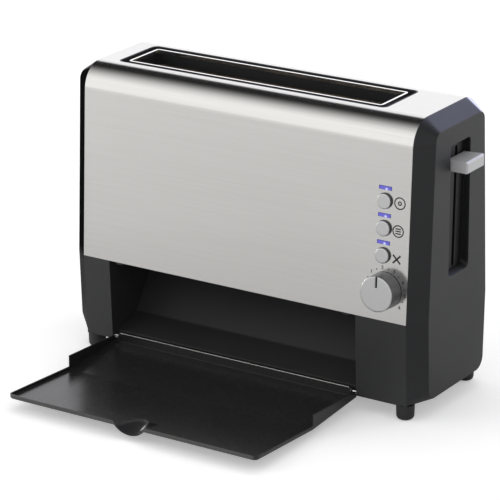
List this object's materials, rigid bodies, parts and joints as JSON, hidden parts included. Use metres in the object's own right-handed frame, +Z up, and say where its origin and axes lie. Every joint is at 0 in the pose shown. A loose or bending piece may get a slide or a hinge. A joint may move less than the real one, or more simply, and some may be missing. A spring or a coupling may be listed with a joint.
{
  "type": "slide-through toaster",
  "caption": "Long narrow toaster: bread goes into a slot in the top, and toast slides down a chute inside it onto a black tray that folds out of the front.",
  "frame": {"origin": "on the table, at the centre of the rectangle of the feet", "axes": "+X along the body towards the lever, -Y out of the front towards the tray, +Z up"},
  "size_m": [0.3854, 0.2864, 0.27],
  "materials": {
    "brushed_steel": "fine lengthwise brushing",
    "black_plastic": "fine satin texture",
    "tray_black": "satin",
    "black_sheet": "satin non-stick coating",
    "bright_sheet": "bright rolled sheet",
    "steel_wire": "bright plated",
    "copper_winding": "enamelled winding",
    "mica": "flaky sheet",
    "heater_metal": "oxidised ribbon",
    "grey_plastic": "satin silver-grey paint",
    "blue_lens": "lit lens",
    "inner_plastic": "moulded",
    "circuit_board": "solder mask",
    "lamp": "clear",
    "rubber": "matt"
  },
  "bodies": {
    "housing": {"steel_wrap": "brushed_steel", "left_end_cap": "black_plastic", "right_end_cap": "black_plastic", "lower_housing": "black_plastic", "slot_bezel": "black_plastic", "chute_ramp": "black_sheet", "base_pan": "black_sheet", "slot_liner": "bright_sheet", "front_reflector": "bright_sheet", "rear_reflector": "bright_sheet", "left_chassis_plate": "bright_sheet", "right_chassis_plate": "bright_sheet", "carriage_frame": "bright_sheet", "front_guide_wires": "steel_wire", "rear_guide_wires": "steel_wire", "carriage_guide_rod": "steel_wire", "return_spring": "steel_wire", "base_screws": "steel_wire", "tray_hinge_pins": "steel_wire", "magnet_core": "steel_wire", "magnet_coil": "copper_winding", "front_heater_board": "mica", "rear_heater_board": "mica", "front_heater_ribbon": "heater_metal", "rear_heater_ribbon": "heater_metal", "indicator_upper": "blue_lens", "indicator_middle": "blue_lens", "indicator_lower": "blue_lens", "control_carrier": "inner_plastic", "browning_pot": "inner_plastic", "tact_switches": "inner_plastic", "control_board": "circuit_board", "indicator_leds": "lamp", "foot_front_left": "rubber", "foot_front_right": "rubber", "foot_rear_left": "rubber", "foot_rear_right": "rubber", "cord_gland": "rubber", "tray_bumpers": "rubber"},
    "tray": {"tray": "tray_black"},
    "carriage": {"carriage": "bright_sheet", "latch_keeper": "steel_wire", "lever_knob": "grey_plastic"},
    "rack": {"bread_rack": "steel_wire"},
    "dial": {"browning_knob": "grey_plastic", "browning_shaft": "steel_wire"},
    "button_upper": {"button_upper": "grey_plastic"},
    "button_middle": {"button_middle": "grey_plastic"},
    "button_lower": {"button_lower": "grey_plastic"}
  },
  "joints": [
    {"name": "tray_fold", "type": "hinge", "parent": "housing", "child": "tray", "pos_m": [-0.011, -0.0585, 0.0165], "axis": [-1, 0, 0], "range_deg": [0, 88]},
    {"name": "lever_slide", "type": "slide", "parent": "housing", "child": "carriage", "axis": [0, 0, -1], "range_m": [0, 0.075], "stiffness_N_per_m": 80, "springref_m": -0.06, "deforming": ["return_spring"]},
    {"name": "rack_tip", "type": "hinge", "parent": "carriage", "child": "rack", "pos_m": [-0.011, 0.0135, 0.186], "axis": [1, 0, 0], "range_deg": [0, 75], "stiffness_Nm_per_rad": 0.01, "springref_deg": -68.75},
    {"name": "browning_turn", "type": "hinge", "parent": "housing", "child": "dial", "pos_m": [0.148, -0.06286, 0.1188], "axis": [0, -0.9987, 0.0515], "range_deg": [-131, 44]},
    {"name": "press_upper", "type": "slide", "parent": "housing", "child": "button_upper", "axis": [0, 0.9987, -0.0515], "range_m": [0, 0.0014], "stiffness_N_per_m": 300, "springref_m": -0.001},
    {"name": "press_middle", "type": "slide", "parent": "housing", "child": "button_middle", "axis": [0, 0.9987, -0.0515], "range_m": [0, 0.0014], "stiffness_N_per_m": 300, "springref_m": -0.001},
    {"name": "press_lower", "type": "slide", "parent": "housing", "child": "button_lower", "axis": [0, 0.9987, -0.0515], "range_m": [0, 0.0014], "stiffness_N_per_m": 300, "springref_m": -0.001}
  ]
}
